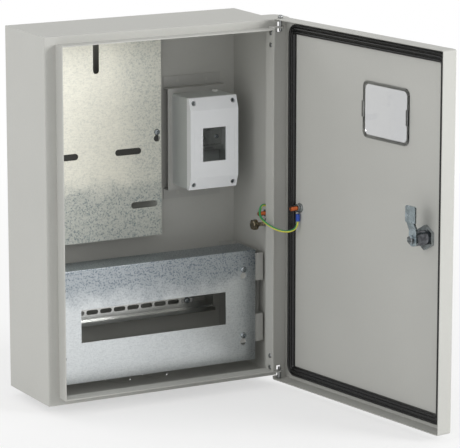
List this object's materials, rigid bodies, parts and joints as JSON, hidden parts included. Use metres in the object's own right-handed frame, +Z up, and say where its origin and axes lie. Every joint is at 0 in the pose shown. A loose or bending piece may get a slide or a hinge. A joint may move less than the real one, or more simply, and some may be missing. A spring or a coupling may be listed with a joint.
{
  "type": "electric meter box",
  "caption": "Wall-hung sheet steel meter box: hinged door with sight window and cam lock, meter plate, small breaker box and a false panel over a module rail.",
  "frame": {"origin": "centre of the four wall holes on the casing's back plane", "axes": "+X to the right seen from the front, +Y into the wall, +Z up; the door is stored open at 98 degrees"},
  "size_m": [0.4099, 0.4832, 0.5137],
  "materials": {
    "casing_paint": "textured light grey powder coat on the casing",
    "fitting_paint": "textured light grey powder coat on welded brackets",
    "door_paint": "textured light grey powder coat on the door",
    "meter_plate_zinc": "hot-dip galvanised sheet with spangle",
    "cover_plate_zinc": "hot-dip galvanised sheet with spangle",
    "rail_zinc": "passivated zinc-plated rail",
    "screw_zinc": "zinc-plated steel",
    "hinge_steel": "zinc-plated pins and rivets",
    "stud_copper": "copper-plated weld studs",
    "box_plastic": "white moulded box",
    "plug_plastic": "white moulded plug",
    "gasket_rubber": "black moulded rubber",
    "window_clear": "clear moulded pane",
    "barrel_zinc": "dark die-cast barrel",
    "lock_chrome": "bright plated nut and core",
    "cam_zinc": "zinc-plated cam",
    "terminal_tin": "tinned copper terminal",
    "sleeve_blue": "blue terminal sleeve",
    "wire_green_yellow": "green and yellow wire insulation"
  },
  "bodies": {
    "casing": {"casing_shell": "casing_paint", "hinge_bracket_top": "fitting_paint", "hinge_bracket_bottom": "fitting_paint", "hinge_pin_top": "hinge_steel", "hinge_pin_bottom": "hinge_steel", "hinge_rivets": "hinge_steel", "meter_plate": "meter_plate_zinc", "meter_plate_bracket": "fitting_paint", "meter_plate_screws": "screw_zinc", "breaker_box_bracket": "fitting_paint", "breaker_box_base": "box_plastic", "breaker_box_cover": "box_plastic", "breaker_box_rail": "rail_zinc", "breaker_box_cover_screws": "screw_zinc", "breaker_box_fixing_screws": "screw_zinc", "breaker_box_rail_screws": "screw_zinc", "breaker_box_entry_plug": "plug_plastic", "din_rail": "rail_zinc", "din_rail_bracket_left": "fitting_paint", "din_rail_bracket_right": "fitting_paint", "din_rail_screws": "screw_zinc", "cover_plate": "cover_plate_zinc", "cover_bracket_left": "fitting_paint", "cover_bracket_right": "fitting_paint", "cover_plate_screws": "screw_zinc", "casing_earth_stud": "stud_copper", "casing_earth_nut": "screw_zinc", "casing_earth_washer": "screw_zinc", "earthing_bolt": "screw_zinc", "earthing_bolt_washer": "screw_zinc", "casing_ring_terminal": "terminal_tin", "casing_terminal_sleeve": "sleeve_blue", "earth_wire": "wire_green_yellow"},
    "door": {"door_shell": "door_paint", "door_gasket": "gasket_rubber", "window_pane": "window_clear", "door_earth_stud": "stud_copper", "door_earth_nut": "screw_zinc", "door_earth_washer": "screw_zinc", "door_ring_terminal": "terminal_tin", "door_terminal_sleeve": "sleeve_blue", "lock_housing": "barrel_zinc", "lock_nut": "lock_chrome"},
    "lock": {"lock_core": "lock_chrome", "lock_cam": "cam_zinc", "cam_bolt": "screw_zinc", "cam_washer": "screw_zinc"}
  },
  "joints": [
    {"name": "door_hinge", "type": "hinge", "parent": "casing", "child": "door", "pos_m": [0.1725, -0.136, 0], "axis": [0, 0, 1], "range_deg": [-98, 22], "deforming": ["earth_wire"]},
    {"name": "lock_turn", "type": "hinge", "parent": "door", "child": "lock", "pos_m": [0.2139, -0.43061, 0], "axis": [0.9903, 0.1392, 0], "range_deg": [0, 90]}
  ]
}
